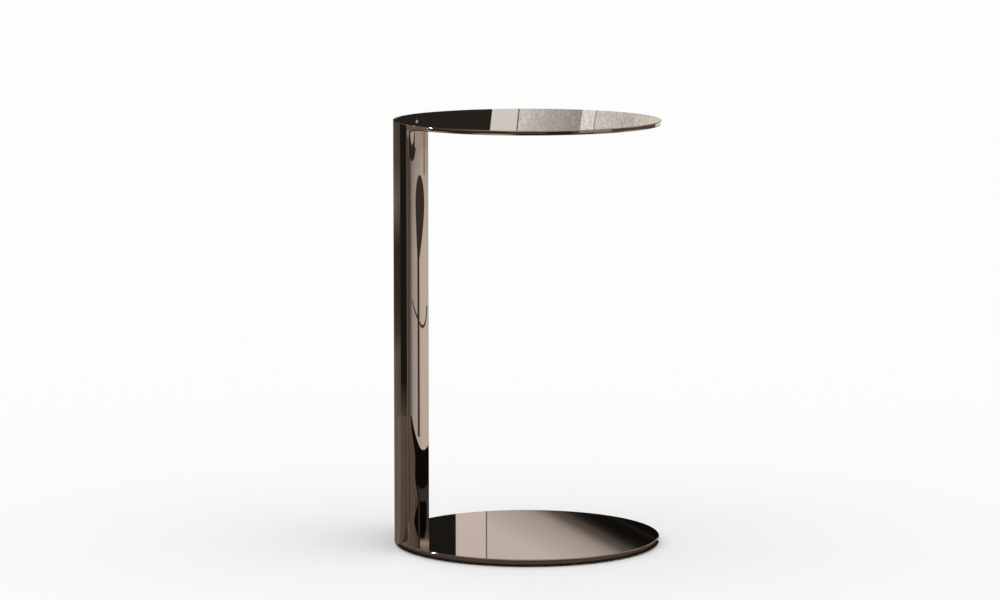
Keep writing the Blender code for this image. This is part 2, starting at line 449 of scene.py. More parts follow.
def press_socket(screw, center, low):
    """Cut a hexagon socket into the head, with a short lead-in at its mouth."""
    corner = SOCKET_ACROSS_FLATS / math.cos(math.pi / SOCKET_SIDES) / 2
    for name, points, wide, narrow, depth, overcut in (
        ("key", SOCKET_SIDES, corner, corner, SOCKET_DEPTH, OVERCUT),
        ("lead_in", SCREW_POINTS, corner + MOUTH_EASE, corner - MOUTH_EASE, 2 * MOUTH_EASE, 0),
    ):
        punch = start_piece(
            name,
            bpy.ops.mesh.primitive_cone_add,
            vertices=points,
            radius1=wide,
            radius2=narrow,
            depth=depth + overcut,
            location=(center.x, center.y, low + (depth - overcut) / 2),
        )
        cut_away(screw, punch)


def copy_to(first, nodes, name):
    """The first screw or pad stands for its node, and copies of it stand for the others."""
    home = node_axis(nodes[0])
    made = [first]
    for node in nodes[1:]:
        piece = first.copy()
        piece.data = first.data.copy()
        piece.data.transform(Matrix.Translation(node_axis(node) - home))
        bpy.context.scene.collection.objects.link(piece)
        made.append(piece)
    for number, (piece, node) in enumerate(zip(made, nodes), start=1):
        piece.name = f"{name}_{number}"
        piece.data.name = piece.name
        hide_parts(node)
    return made


# %% Button-head screws under the top
first_low, first_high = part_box(TOP_SCREWS[0])
center = node_axis(TOP_SCREWS[0])
button = start_piece(
    "button",
    bpy.ops.mesh.primitive_cylinder_add,
    vertices=SCREW_POINTS,
    radius=BUTTON_HEAD_RADIUS,
    depth=BUTTON_HEAD_HEIGHT,
    location=(center.x, center.y, first_low.z + BUTTON_HEAD_HEIGHT / 2),
)
edit(button)
pick(button, "EDGE", lambda edge: max(vert.co.z for vert in edge.verts) < first_low.z + MERGE)
bpy.ops.mesh.bevel(offset=BUTTON_DOME, segments=7, profile=0.5, affect="EDGES")
leave_edit()
raise_shank(button, BUTTON_HEAD_RADIUS, first_high.z)
press_socket(button, center, first_low.z)
shade(button)
top_screws = copy_to(button, TOP_SCREWS, "button_screw")
print("button screws:", len(top_screws), "of", len(button.data.polygons), "faces")

# %% Countersunk screws under the base
first_low, first_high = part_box(FOOT_SCREWS[0])
center = node_axis(FOOT_SCREWS[0])
sunk = start_piece(
    "sunk",
    bpy.ops.mesh.primitive_cone_add,
    vertices=SCREW_POINTS,
    radius1=SUNK_HEAD_RADIUS,
    radius2=SHANK_RADIUS,
    depth=SUNK_HEAD_RADIUS - SHANK_RADIUS,
    location=(center.x, center.y, first_low.z + (SUNK_HEAD_RADIUS - SHANK_RADIUS) / 2),
)
raise_shank(sunk, SHANK_RADIUS, first_high.z)
press_socket(sunk, center, first_low.z)
shade(sunk)
foot_screws = copy_to(sunk, FOOT_SCREWS, "sunk_screw")
print("countersunk screws:", len(foot_screws), "of", len(sunk.data.polygons), "faces")

# %% [markdown]
# ## Floor pads
# Moulded rubber buttons, pressed into shallow seats. The lower face is dished inside a flat ring, as such
# pads are, so that they grip by their edge. A cylinder, one bevel, two insets and a short push upwards
# make the form.

# %% Rubber pads
PAD_POINTS = 64
PAD_EASE = 0.0005
PAD_RING = 0.0028
PAD_DISH = 0.0006

pad_low, pad_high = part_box(PADS[0])
pad = start_piece(
    "pad",
    bpy.ops.mesh.primitive_cylinder_add,
    vertices=PAD_POINTS,
    radius=(pad_high.x - pad_low.x) / 2,
    depth=pad_high.z - pad_low.z,
    location=node_axis(PADS[0]),
)
pad_foot = pad_low.z + MERGE
edit(pad)
pick(pad, "EDGE", lambda edge: max(vert.co.z for vert in edge.verts) < pad_foot)
bpy.ops.mesh.bevel(offset=PAD_EASE, segments=3, profile=0.5, affect="EDGES")
pick(pad, "FACE", lambda face: face.normal.z < -NEARLY_LEVEL and face.calc_center_median().z < pad_foot)
bpy.ops.mesh.inset(thickness=PAD_RING)
bpy.ops.mesh.inset(thickness=PAD_DISH)
bpy.ops.transform.translate(value=(0, 0, PAD_DISH))
leave_edit()
shade(pad)
pads = copy_to(pad, PADS, "rubber_pad")
print("pads:", len(pads), "of", len(pad.data.polygons), "faces")


# %% [markdown]
# ## Shader maths
# A material is easier to read as a sum than as a web of nodes. A Wire wraps a socket, and adding or
# multiplying wires adds the Math node that does it. Any other node comes from one call: its type, its
# settings, its sockets.

# %% Wires and finishes
class Wire:
    """An output socket that can be used in a sum."""

    def __init__(self, finish, socket):
        self.finish = finish
        self.socket = socket

    def math(self, operation, left, right):
        return self.finish.node("ShaderNodeMath", {"operation": operation}, {0: left, 1: right})

    def __add__(self, other):
        return self.math("ADD", self, other)

    def __sub__(self, other):
        return self.math("SUBTRACT", self, other)

    def __rsub__(self, other):
        return self.math("SUBTRACT", other, self)

    def __mul__(self, other):
        return self.math("MULTIPLY", self, other)

    __radd__ = __add__
    __rmul__ = __mul__


class Finish:
    """A material whose nodes are added one call at a time."""

    def __init__(self, name):
        self.material = bpy.data.materials.new(name)
        self.material.use_nodes = True
        self.tree = self.material.node_tree
        self.shader = self.tree.nodes["Principled BSDF"]

    def node(self, kind, settings=None, inputs=None, output=0):
        """Add a node, make its settings, fill or link its sockets, and return one of its outputs."""
        made = self.tree.nodes.new(kind)
        for name, value in (settings or {}).items():
            if name == "stops":
                while len(made.color_ramp.elements) < len(value):
                    made.color_ramp.elements.new(1)
                for stop, (position, color) in zip(made.color_ramp.elements, value):
                    stop.position = position
                    stop.color = (*color, 1)
            else:
                setattr(made, name, value)
        for name, value in (inputs or {}).items():
            self.feed(made.inputs[name], value)
        return Wire(self, made.outputs[output])

    def feed(self, socket, value):
        if isinstance(value, Wire):
            self.tree.links.new(value.socket, socket)
        else:
            socket.default_value = value

    def set(self, **sockets):
        for name, value in sockets.items():
            self.feed(self.shader.inputs[name.replace("_", " ")], value)


# %% [markdown]
# ## Dark nickel
# The steel is polished until it mirrors, then plated with a warm dark nickel. It still isn't a perfect
# mirror. The plating drifts a little in tone, the last buffing leaves hairlines along the run of the
# wheel, and the sheet is never quite flat. All three are kept faint, because a strong pattern would turn
# the mirror into brushed metal.

# %% Plated finishes
NICKEL_PALE = (0.50, 0.425, 0.365, 1)
NICKEL_DEEP = (0.455, 0.385, 0.33, 1)
MIRROR_ROUGHNESS = 0.008
DRIFT_ROUGHNESS = 0.008
HAIRLINE_ROUGHNESS = 0.006
HAIRLINE_DEPTH = 0.004
WAVE_HEIGHT = 0.000004
HAIRLINE_FINE = 700
HAIRLINE_LONG = 8


def noise(finish, scale, detail):
    place = finish.node("ShaderNodeTexCoord", output="Object")
    return finish.node("ShaderNodeTexNoise", inputs={"Vector": place, "Scale": scale, "Detail": detail})


def bump(finish, strength, distance, height):
    sockets = {"Strength": strength, "Distance": distance, "Height": height}
    return finish.node("ShaderNodeBump", inputs=sockets)


def dark_nickel(name, hairline_scale):
    """Mirror-polished plating, buffed along the axis in which hairline_scale is smallest."""
    finish = Finish(name)
    drift = noise(finish, scale=7, detail=2)
    place = finish.node("ShaderNodeTexCoord", output="Object")
    run = finish.node("ShaderNodeMapping", inputs={"Vector": place, "Scale": hairline_scale})
    strands = {"Vector": run, "Scale": 1, "Detail": 3, "Roughness": 0.7}
    hairline = finish.node("ShaderNodeTexNoise", inputs=strands)
    shades = {"Factor": drift, 6: NICKEL_DEEP, 7: NICKEL_PALE}
    tone = finish.node("ShaderNodeMix", {"data_type": "RGBA"}, shades, output=2)
    wave = noise(finish, scale=11, detail=1)
    finish.set(
        Base_Color=tone,
        Metallic=1,
        Roughness=MIRROR_ROUGHNESS + DRIFT_ROUGHNESS * drift + HAIRLINE_ROUGHNESS * hairline,
        Normal=bump(finish, 1, WAVE_HEIGHT, wave + HAIRLINE_DEPTH * hairline),
    )
    return finish.material


plate_nickel = dark_nickel("plate_nickel", (HAIRLINE_LONG, HAIRLINE_FINE, HAIRLINE_FINE))
post_nickel = dark_nickel("post_nickel", (HAIRLINE_FINE, HAIRLINE_FINE, HAIRLINE_LONG))
print("plated finishes:", plate_nickel.name, "and", post_nickel.name)


# %% [markdown]
# ## Screws and pads
# The screws are blackened steel, turned on a lathe: a rougher, darker metal with a mottled oxide. The
# pads are black rubber with a fine moulded skin.

# %% Oxide and rubber
def ramp(finish, along, stops):
    """A colour ramp through stops of place and tone."""
    return finish.node("ShaderNodeValToRGB", {"stops": stops}, {"Fac": along})


def black_oxide():
    finish = Finish("black_oxide")
    mottle = noise(finish, scale=900, detail=4)
    tone = ramp(finish, mottle, ((0.3, (0.07, 0.07, 0.075)), (0.75, (0.13, 0.125, 0.12))))
    relief = bump(finish, strength=0.4, distance=0.00002, height=mottle)
    finish.set(Base_Color=tone, Metallic=1, Roughness=0.28 + 0.14 * mottle, Normal=relief)
    return finish.material


def pad_rubber():
    finish = Finish("pad_rubber_skin")
    grain = noise(finish, scale=1600, detail=3)
    tone = ramp(finish, grain, ((0.3, (0.022, 0.022, 0.023)), (0.8, (0.045, 0.044, 0.043))))
    relief = bump(finish, strength=0.6, distance=0.00006, height=grain)
    finish.set(Base_Color=tone, Roughness=0.72 + 0.2 * grain, Normal=relief)
    return finish.material


screw_oxide = black_oxide()
rubber_skin = pad_rubber()
print("small finishes:", screw_oxide.name, "and", rubber_skin.name)


# %% [markdown]
# Each finished piece takes its material and rides on the one body that this table has, because nothing
# on it moves.

# %% Dress the pieces
def dress(pieces, material):
    """Give finished pieces their material and slot, and let them ride with the table."""
    for piece in pieces:
        piece.data.materials.clear()
        piece.data.materials.append(material)
        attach(piece, "root")


dress([top, base, top_flange, foot_flange], plate_nickel)
dress([post], post_nickel)
dress(top_screws + foot_screws, screw_oxide)
dress(pads, rubber_skin)

# %% [markdown]
# ## Floor and light
# A plain pale floor under a plain white sky gives soft light from everywhere and a soft shadow under the
# base.

# %% Floor and sky
FLOOR_SIZE = 120
FLOOR_TONE = (0.98, 0.98, 0.977, 1)
SKY_STRENGTH = 1.0

floor = start_piece("floor", bpy.ops.mesh.primitive_plane_add, size=FLOOR_SIZE)
paper = Finish("floor_paper")
paper.set(Base_Color=FLOOR_TONE, Roughness=0.9, Specular_IOR_Level=0)
floor.data.materials.append(paper.material)
floor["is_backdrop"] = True

sky = bpy.data.worlds.new("studio_sky")
sky.use_nodes = True
sky_light = sky.node_tree.nodes["Background"]
sky_light.inputs["Color"].default_value = (1, 1, 1, 1)
sky_light.inputs["Strength"].default_value = SKY_STRENGTH
bpy.context.scene.world = sky
print("floor and sky:", FLOOR_SIZE, "m of paper under strength", SKY_STRENGTH)

# %% [markdown]
# ## What the mirror sees
# Polished metal has hardly any look of its own. It shows its surroundings, and in an all-white studio it
# would turn into a pale flat shape. Product photographers therefore set dark flags and pale cards round a
# mirror, and lay dark cloth on the floor. These do the same. Their places are given in the camera's own
# directions, across the picture and away from the camera, because that is how a photographer places them.

# %% Places and tones
HEADING = CAMERA_AZIMUTH + CAMERA_TURN
ACROSS = Vector((math.cos(HEADING), math.sin(HEADING), 0))
AWAY = Vector((-math.sin(HEADING), math.cos(HEADING), 0))
UP = Vector((0, 0, 1))
TABLE_AXIS = (0, 0)


def spot(across, away, up):
    """A point in space, given in the camera's directions."""
    return across * ACROSS + away * AWAY + up * UP


def around(angle, radius, middle=TABLE_AXIS):
    """A place on the floor, by its angle from straight back to the right and its distance from a middle."""
    turn = math.radians(angle)
    return middle[0] + radius * math.sin(turn), middle[1] + radius * math.cos(turn)


def span(angles, radius, middle=TABLE_AXIS):
    """Places at several angles and one distance."""
    return [around(angle, radius, middle) for angle in angles]


def spread(start, end, steps):
    """Angles in equal steps from one to another, both included."""
    return [start + (end - start) * step / steps for step in range(steps + 1)]


def tinted(shades, warmth):
    """Stops of place and grey shade, turned to stops of place and warm tone."""
    return [(place, [shade * part for part in warmth]) for place, shade in shades]


def multiplied(finish, left, right):
    settings = {"data_type": "RGBA", "blend_type": "MULTIPLY"}
    return finish.node("ShaderNodeMix", settings, {"Factor": 1, 6: left, 7: right}, output=2)


def measure(finish, source, side):
    """How far along a side a point lies, in object or UV coordinates."""
    place = finish.node("ShaderNodeTexCoord", output=source)
    return finish.node("ShaderNodeSeparateXYZ", inputs={"Vector": place}, output=side)


def fade(side, *stops):
    """A tone that changes along a card, X from left to right or Y upwards."""

    def paint(finish):
        return ramp(finish, measure(finish, "UV", side), stops)

    return paint


def by_angle(middle, shades, warmth, far_shades=((0, 1), (1, 1)), far_reach=1):
    """A tone that changes with the angle round a place on the floor, and with the distance from it."""

    def paint(finish):
        place = finish.node("ShaderNodeTexCoord", output="Object")
        dot = {"operation": "DOT_PRODUCT"}
        across, away = (
            finish.node("ShaderNodeVectorMath", dot, {0: place, 1: way}, "Value") - offset
            for way, offset in zip((ACROSS, AWAY), middle)
        )
        angle = finish.node("ShaderNodeMath", {"operation": "ARCTAN2"}, {0: across, 1: away})
        reach = finish.node("ShaderNodeMath", {"operation": "SQRT"}, {0: across * across + away * away})
        stops = [(0.5 + degrees / 360, tone) for degrees, tone in tinted(shades, warmth)]
        far_stops = [(distance / far_reach, [shade] * 3) for distance, shade in far_shades]
        near_tone = ramp(finish, 0.5 + angle * (0.5 / math.pi), stops)
        far_tone = ramp(finish, reach * (1 / far_reach), far_stops)
        return multiplied(finish, near_tone, far_tone)

    return paint


print("straight back is", [round(value, 3) for value in AWAY], "in the frame")

# %% [markdown]
# A board glows with its own tone, plain or painted, so that no lamp has to reach it. Only reflections see
# it: it lights nothing, casts no shadow and never stands in the picture. Boards on the floor lie in thin
# layers, so that each one covers those below it.

# %% Boards
FLOOR_GAP = 0.0002
SECTOR_STEP = 10
ROUND_POINTS = 64


def for_reflections(board, tone):
    """Give a board its tone, plain or painted, and let nothing but reflections see it."""
    finish = Finish(board.name)
    glow = tone(finish) if callable(tone) else (*tone, 1)
    finish.set(Base_Color=(0, 0, 0, 1), Specular_IOR_Level=0, Emission_Color=glow, Emission_Strength=1)
    finish.material.cycles.emission_sampling = "NONE"
    board.data.materials.append(finish.material)
    for ray in ("camera", "diffuse", "shadow", "transmission", "volume_scatter"):
        setattr(board, "visible_" + ray, False)
    board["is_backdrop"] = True


def card(name, tone, corners):
    """A flat card with corners near left, near right, far left and far right, each (across, away, up)."""
    board = start_piece(name, bpy.ops.mesh.primitive_plane_add, size=1)
    for vert, corner in zip(board.data.vertices, corners):
        vert.co = spot(*corner)
    for_reflections(board, tone)


def stand_card(name, tone, left, right, low, high, lean=(0, 0)):
    """An upright card between two places on the floor, whose sides lean left towards the top."""
    feet = ((*left, low), (*right, low))
    heads = ((left[0] - lean[0], left[1], high), (right[0] - lean[1], right[1], high))
    card(name, tone, feet + heads)


def arc_of_cards(name, tone, angles, radius, low, high, middle=TABLE_AXIS, first=1):
    """Upright cards side by side round a middle, one from each angle to the next."""
    places = span(angles, radius, middle)
    for number, (left, right) in enumerate(zip(places, places[1:]), start=first):
        stand_card(f"{name}_{number}", tone, left, right, low, high)


def outline_card(name, tone, outline):
    """A card of any outline, given as places (across, away, up)."""
    circle = bpy.ops.mesh.primitive_circle_add
    board = start_piece(name, circle, vertices=len(outline), radius=1, fill_type="NGON")
    for vert, place in zip(board.data.vertices, outline):
        vert.co = spot(*place)
    for_reflections(board, tone)


def floor_card(name, tone, outline, layer):
    """A card flat on the floor, with an outline of places (across, away)."""
    outline_card(name, tone, [(*place, layer * FLOOR_GAP) for place in outline])


def round_card(name, tone, place, half_width, half_depth, turn, layer):
    """A round card flat on the floor, turned so that its depth runs along an angle."""
    board = start_piece(
        name,
        bpy.ops.mesh.primitive_circle_add,
        stretch=(half_width, half_depth, 1),
        vertices=ROUND_POINTS,
        radius=1,
        fill_type="NGON",
        location=spot(*place, layer * FLOOR_GAP),
        rotation=(0, 0, HEADING - math.radians(turn)),
    )
    for_reflections(board, tone)


def sector(name, tone, start, end, near, far, layer, middle=TABLE_AXIS):
    """Part of a ring flat on the floor, between two angles and two radii."""
    angles = spread(start, end, max(1, round((end - start) / SECTOR_STEP)))
    quads = []
    for pair in zip(angles, angles[1:]):
        quad = start_piece(name, bpy.ops.mesh.primitive_plane_add, size=1)
        places = span(pair, near, middle) + span(pair, far, middle)
        for vert, place in zip(quad.data.vertices, places):
            vert.co = spot(*place, layer * FLOOR_GAP)
        quads.append(quad)
    make_active(quads[0])
    for quad in quads:
        quad.select_set(True)
    bpy.ops.object.join()
    for_reflections(quads[0], tone)


# %% [markdown]
# The room round the table is dim below. High on its wall hang panels that are bright at one side and fade
# towards the other, and its ceiling changes softly from light to dark, so that the metal shows bands of
# light from any side.

# %% Dim room with panels
ROOM_TONE = (0.034, 0.029, 0.024)
ROOM_RADIUS = 8
ROOM_HEIGHT = 3.0
ROOM_POINTS = 96
PANEL_TONE = (0.78, 0.72, 0.68)
PANELS = 12
PANEL_START = 0.12
PANEL_LEVELS = (1.7, 2.8)
PANEL_GAP = 0.1
CEILING_WARMTH = (1, 0.93, 0.87)
SKYLIGHT_TONE = (0.66, 0.61, 0.57)
SKYLIGHT_SIDES = (-0.95, 3)
SKYLIGHT_ENDS = (-4, 2.5)
SKYLIGHT_DROP = 0.05
ceiling_shades = (
    (-180, 0.50),
    (-150, 0.16),
    (-122, 0.50),
    (-98, 0.10),
    (-86, 0.03),
    (-66, 0.05),
    (-42, 0.34),
    (-20, 0.05),
    (16, 0.03),
    (34, 0.30),
    (60, 0.60),
    (90, 0.20),
    (120, 0.55),
    (150, 0.20),
    (180, 0.50),
)


def panelled(finish):
    """Panels all round the room, each bright at one side and fading towards the other."""
    sides = {0: measure(finish, "Object", "X"), 1: measure(finish, "Object", "Y")}
    angle = finish.node("ShaderNodeMath", {"operation": "ARCTAN2"}, sides)
    count = angle * (PANELS / (2 * math.pi)) + PANEL_START
    part = finish.node("ShaderNodeMath", {"operation": "FRACT"}, {0: count})
    return ramp(finish, part, ((0, PANEL_TONE), (0.40, PANEL_TONE), (0.90, ROOM_TONE)))


for name, tone, radius, low, high in (
    ("dim_wall", ROOM_TONE, ROOM_RADIUS, 0, ROOM_HEIGHT),
    ("panelled_wall", panelled, ROOM_RADIUS - PANEL_GAP, *PANEL_LEVELS),
):
    wall = start_piece(
        name,
        bpy.ops.mesh.primitive_cylinder_add,
        vertices=ROOM_POINTS,
        radius=radius,
        depth=high - low,
        end_fill_type="NOTHING",
        location=(0, 0, (low + high) / 2),
    )
    for_reflections(wall, tone)
ceiling = start_piece(
    "dim_ceiling",
    bpy.ops.mesh.primitive_circle_add,
    vertices=ROOM_POINTS,
    radius=ROOM_RADIUS,
    fill_type="NGON",
    location=(0, 0, ROOM_HEIGHT),
)
for_reflections(ceiling, by_angle(TABLE_AXIS, ceiling_shades, CEILING_WARMTH))
panel_level = ROOM_HEIGHT - SKYLIGHT_DROP
card(
    "ceiling_panel",
    SKYLIGHT_TONE,
    [(across, away, panel_level) for away in SKYLIGHT_ENDS for across in SKYLIGHT_SIDES],
)
print("room:", ROOM_RADIUS, "m to its wall,", ROOM_HEIGHT, "m high,", PANELS, "panels")

# %% [markdown]
# The cloth round the base is brown and dark, with two pale lengths that put a long soft light on the
# outside of the post. A narrow ring close to the base carries painted contact shadow, darker towards its
# rim.

# %% Cloth round the base
CLOTH_WARMTH = (1, 0.80, 0.655)
CLOTH_BROWN = (0.36, 0.31, 0.27)
CORNER_BROWN = (0.17, 0.14, 0.115)
CLOTH_NEAR = 0.17
CLOTH_REACH = 6
POST_BACK = (-0.17, -0.04)
POST_END = (-0.15, -0.09)
CORNER_NEAR = 0.12
RING_NEAR = 0.16
RING_REACH = 0.27
left_cloth = (
    (-98, 0.85),
    (-88, 0.85),
    (-78, 0.12),
    (-68, 0.05),
    (-58, 0.10),
    (-53, 0.135),
    (-49, 0.17),
    (-44.5, 0.135),
    (-39, 0.18),
    (-33, 0.235),
    (-24, 0.17),
)
front_cloth = (
    (-180, 0.05),
    (-172, 0.05),
    (-160, 0.75),
    (-142, 0.75),
    (-130, 0.06),
    (-114, 0.05),
    (-104, 0.70),
    (-98, 0.85),
    (122, 0.05),
    (180, 0.05),
)
ring_tone = ((-180, 0.125), (-112, 0.125), (-98, 0.26), (90, 0.125), (180, 0.125))
ring_shadow = ((0.183, 0.1), (0.190, 0.5), (0.198, 1.2), (0.208, 0.9))
for name, tone, start, end in (
    ("cloth_left", by_angle(POST_BACK, left_cloth, CLOTH_WARMTH), 262, 410),
    ("cloth_front", by_angle(TABLE_AXIS, front_cloth, CLOTH_WARMTH), 122, 262),
    ("cloth_right", CLOTH_BROWN, 88, 122),
):
    sector(name, tone, start, end, CLOTH_NEAR, CLOTH_REACH, layer=1)
sector("cloth_corner", CORNER_BROWN, 126, 136, CORNER_NEAR, CLOTH_REACH, layer=2, middle=POST_END)
# Painted contact shadow: the ring darkens close to the base, as a floor does under a table's foot.
shadow_ring_paint = by_angle(TABLE_AXIS, ring_tone, CLOTH_WARMTH, ring_shadow, RING_REACH)
sector("base_shadow_ring", shadow_ring_paint, 90, 262, RING_NEAR, RING_REACH, layer=3)
print("cloth:", CLOTH_REACH, "m wide, with a ring out to", RING_REACH, "m")

# %% [markdown]
# The hollow face sees a fan of floor at the back right. It is brown at its left and bare and pale at its
# right. Black felt lies near the base with a dim patch along its near edge, and a pale mat with one round
# corner lies on it.

# %% Floor in front of the hollow face
POST_FACE = (-0.145, 0.09)
FELT_TONE = (0.008, 0.007, 0.006)
GLOW_TONE = (0.055, 0.05, 0.043)
PALE_WARMTH = (0.96, 0.92, 0.875)
FAN_NEAR = 0.95
FAN_REACH = 7.2
MAT_HEADING = 30
fan_shades = (
    (48.5, 0.04),
    (50.5, 0.07),
    (52, 0.12),
    (53.3, 0.19),
    (54.8, 0.34),
    (56.3, 0.54),
    (58, 0.63),
    (61, 0.72),
    (64, 0.80),
    (68, 0.86),
    (72, 1),
)
far_shades = ((0, 1), (3.2, 1), (4.6, 0.87), (6.2, 0.62))
felt_left = ((66, 0.12), (63.7, 0.28), (62, 0.34), (60.6, 0.40), (61, 0.55), (60.4, 0.61))
felt_right = ((58.4, 0.69), (54.5, 0.84), (52.5, 1), (64, 1), (76, 1), (88, 1), (100, 1), (100, 0.12))
glow_right = ((65, 0.25), (86, 0.25), (86, 0.40), (80, 0.37), (77.7, 0.347))
glow_left = ((75, 0.318), (72, 0.297), (69, 0.297), (66.5, 0.312), (65, 0.33))
mat_corner = ((0.445, 0.304), (0.4546, 0.268), (0.481, 0.2416), (0.517, 0.232))
mat_outline = ((0.445, 0.9), *mat_corner, (1.1, 0.232), (1.1, 0.9))

hollow_floor = by_angle(POST_FACE, fan_shades, PALE_WARMTH, far_shades, FAN_REACH)
for name, tone, outline, layer in (
    ("felt", FELT_TONE, felt_left + felt_right, 2),
    ("rim_glow", GLOW_TONE, glow_right + glow_left, 3),
):
    floor_card(name, tone, [around(angle, reach, POST_FACE) for angle, reach in outline], layer)
mat = [around(MAT_HEADING + 90, side, around(MAT_HEADING, ahead)) for ahead, side in mat_outline]
floor_card("pale_mat", hollow_floor, mat, layer=3)
sector("pale_fan", hollow_floor, 46, 92, FAN_NEAR, FAN_REACH, layer=4, middle=POST_FACE)
print("hollow face looks over felt to", FAN_NEAR, "m and over pale floor to", FAN_REACH, "m")

# %% [markdown]
# A thin dark seam runs over the pale floor and turns a corner, and the mirror bends it to one fine curve.
# Far out lie two round mats, the pale one on the dark one, which close the pale field at the top.

# %% Seam and far mats
SEAM_TONE = (0.06, 0.05, 0.04)
SEAM_CORNER = (1.945, 0.74)
SEAM_REACHES = (0.225, 0.18)
SEAM_TURN = (270, 247.5, 225, 202.5, 180)
SEAM_LEAN = 0.08
SEAM_LENGTH = 0.67
SEAM_END = 0.15
FAR_ANGLE = 57


def seam_side(reach):
    """One side of the seam: along the left, round a corner and off to the right."""
    across, away = SEAM_CORNER
    start = (across - reach + SEAM_LEAN, away + SEAM_LENGTH)
    end = (across + SEAM_END, away - reach)
    return [start, *span(SEAM_TURN, reach, SEAM_CORNER), end]


outer_side, inner_side = (seam_side(reach) for reach in SEAM_REACHES)
floor_card("floor_seam", SEAM_TONE, outer_side + inner_side[::-1], layer=5)
for name, tone, distance, half_width, half_depth, layer in (
    ("far_dark", (0.045, 0.038, 0.032), 6.2, 0.78, 0.95, 5),
    ("far_pale", (0.70, 0.66, 0.62), 6.5, 0.42, 0.75, 6),
):
    place = around(FAR_ANGLE, distance, POST_FACE)
    round_card(name, tone, place, half_width, half_depth, FAR_ANGLE, layer)
print("seam:", round(1000 * (SEAM_REACHES[0] - SEAM_REACHES[1])), "mm wide")

# %% [markdown]
# Low down, the hollow face and the base are seen in each other, and together they look up to the back
# right. A band hangs there that is brown at its left and pale along its top, with a dark rounded flag in
# front of it.

# %% Pale band and rounded flag
BAND_AWAY = 2.5
BAND_LEVELS = (0.40, 0.56)
BAND_WARMTH = (1, 0.90, 0.80)
BAND_BROWN = (0.19, 0.17, 0.15)
BAND_BROWN_ANGLES = (60, 65)
BAND_PALE_ANGLES = (65, 71, 77, 83)
LOBE_AWAY = 2.45
band_shades = ((0, 0.11), (0.23, 0.11), (0.62, 0.14), (0.73, 0.26), (0.79, 0.90), (0.84, 0.50), (1, 0.58))
lobe_left = ((66, 0.431), (65, 0.437), (61.5, 0.453), (58.5, 0.469), (59, 0.477), (62, 0.493))
lobe_right = ((66, 0.507), (75, 0.507), (77.3, 0.485), (77.8, 0.461), (77.8, 0.441), (76, 0.431))

pale_band = fade("Y", *tinted(band_shades, BAND_WARMTH))
arc_of_cards("pale_band", BAND_BROWN, BAND_BROWN_ANGLES, BAND_AWAY, *BAND_LEVELS, POST_FACE)
arc_of_cards("pale_band", pale_band, BAND_PALE_ANGLES, BAND_AWAY, *BAND_LEVELS, POST_FACE, first=2)
lobe = [(*around(angle, LOBE_AWAY, POST_FACE), height) for angle, height in lobe_left + lobe_right]
outline_card("rounded_flag", FELT_TONE, lobe)
print("band and rounded flag:", BAND_AWAY, "and", LOBE_AWAY, "m from the hollow face")

# %% [markdown]
# Straight behind the table hang the cards that its discs reflect towards the camera. The base throws the
# view up more steeply, but from so much lower down that it meets the lower row, and the top meets the
# upper row. The upper row's cards lean, and three of them are woven.

# %% Upper row behind the table
WALL_AWAY = 4.0
TOP_ROW = (0.855, 1.6)
LINE_TONE = (0.16, 0.14, 0.12)
WEAVE_SCALE = 240
WEAVE_SHADES = ((0.36, [0.64] * 3), (0.64, [1.06] * 3))


def woven(*stops):
    """A fading card of coarse woven stuff, whose grain the mirror shows as a fine speckle."""

    def paint(finish):
        grain = noise(finish, WEAVE_SCALE, detail=2)
        return multiplied(finish, fade("X", *stops)(finish), ramp(finish, grain, WEAVE_SHADES))

    return paint


top_edges = (
    (-2.4, 0),
    (-0.0516, 0.082),
    (0.0086, 0.071),
    (0.0120, 0.071),
    (0.1608, 0.118),
    (0.1912, 0.112),
    (0.1947, 0.112),
    (1.6, 0.112),
)
top_tones = (
    (0.023, 0.019, 0.0155),
    (0.768, 0.711, 0.665),
    LINE_TONE,
    woven((0, (0.88, 0.80, 0.74)), (0.5, (0.57, 0.52, 0.475)), (1, (0.42, 0.375, 0.34))),
    woven((0, (0.97, 0.90, 0.85)), (1, (0.97, 0.90, 0.85))),
    (0.40, 0.37, 0.34),
    woven((0, (0.86, 0.80, 0.755)), (0.05, (0.66, 0.615, 0.575)), (0.095, (0.86, 0.80, 0.70))),
)
for number, tone in enumerate(top_tones):
    (left, left_lean), (right, right_lean) = top_edges[number : number + 2]
    feet = ((left, WALL_AWAY), (right, WALL_AWAY))
    stand_card(f"top_card_{number + 1}", tone, *feet, *TOP_ROW, lean=(left_lean, right_lean))
print("upper row:", len(top_tones), "cards,", WALL_AWAY, "m behind the table")

# %% [markdown]
# The lower row is dark at its left and pale in the middle, and a slanted shade darkens its right end. A
# small piece in front rounds off the corner of the dark card.

# %% Lower row behind the table
BASE_ROW = (0.50, 0.855)
BASE_DARK = (0.015, 0.014, 0.011)
BASE_PALE = (0.80, 0.70, 0.645)
SLANT_START = 0.538
SLANT_ACROSS = 0.966
SLANT_UP = 0.650
IN_FRONT = 0.01
CORNER_LEFT = -0.142
CORNER_TOP = 0.845
CORNER_MIDDLE = (-0.1285, 0.824)
CORNER_SIZE = (0.0125, 0.0115)
CORNER_TURN = (270, 292.5, 315, 337.5, 360)


def slanted_shade(finish):
    """Pale, and falling off to dark across a line that rises to the right."""
    side = measure(finish, "UV", "X")
    height = measure(finish, "UV", "Y")
    slant = SLANT_START + SLANT_ACROSS * side - SLANT_UP * height
    stops = (
        (0.06, (0.76, 0.675, 0.627)),
        (0.20, (0.545, 0.48, 0.44)),
        (0.235, (0.445, 0.385, 0.345)),
        (0.278, (0.14, 0.116, 0.098)),
        (0.300, (0.092, 0.076, 0.064)),
        (0.322, (0.026, 0.022, 0.017)),
        (0.350, (0.007, 0.006, 0.005)),
        (0.392, (0.007, 0.006, 0.005)),
        (0.403, (0.024, 0.021, 0.017)),
        (0.412, (0.006, 0.005, 0.004)),
    )
    return ramp(finish, slant, stops)


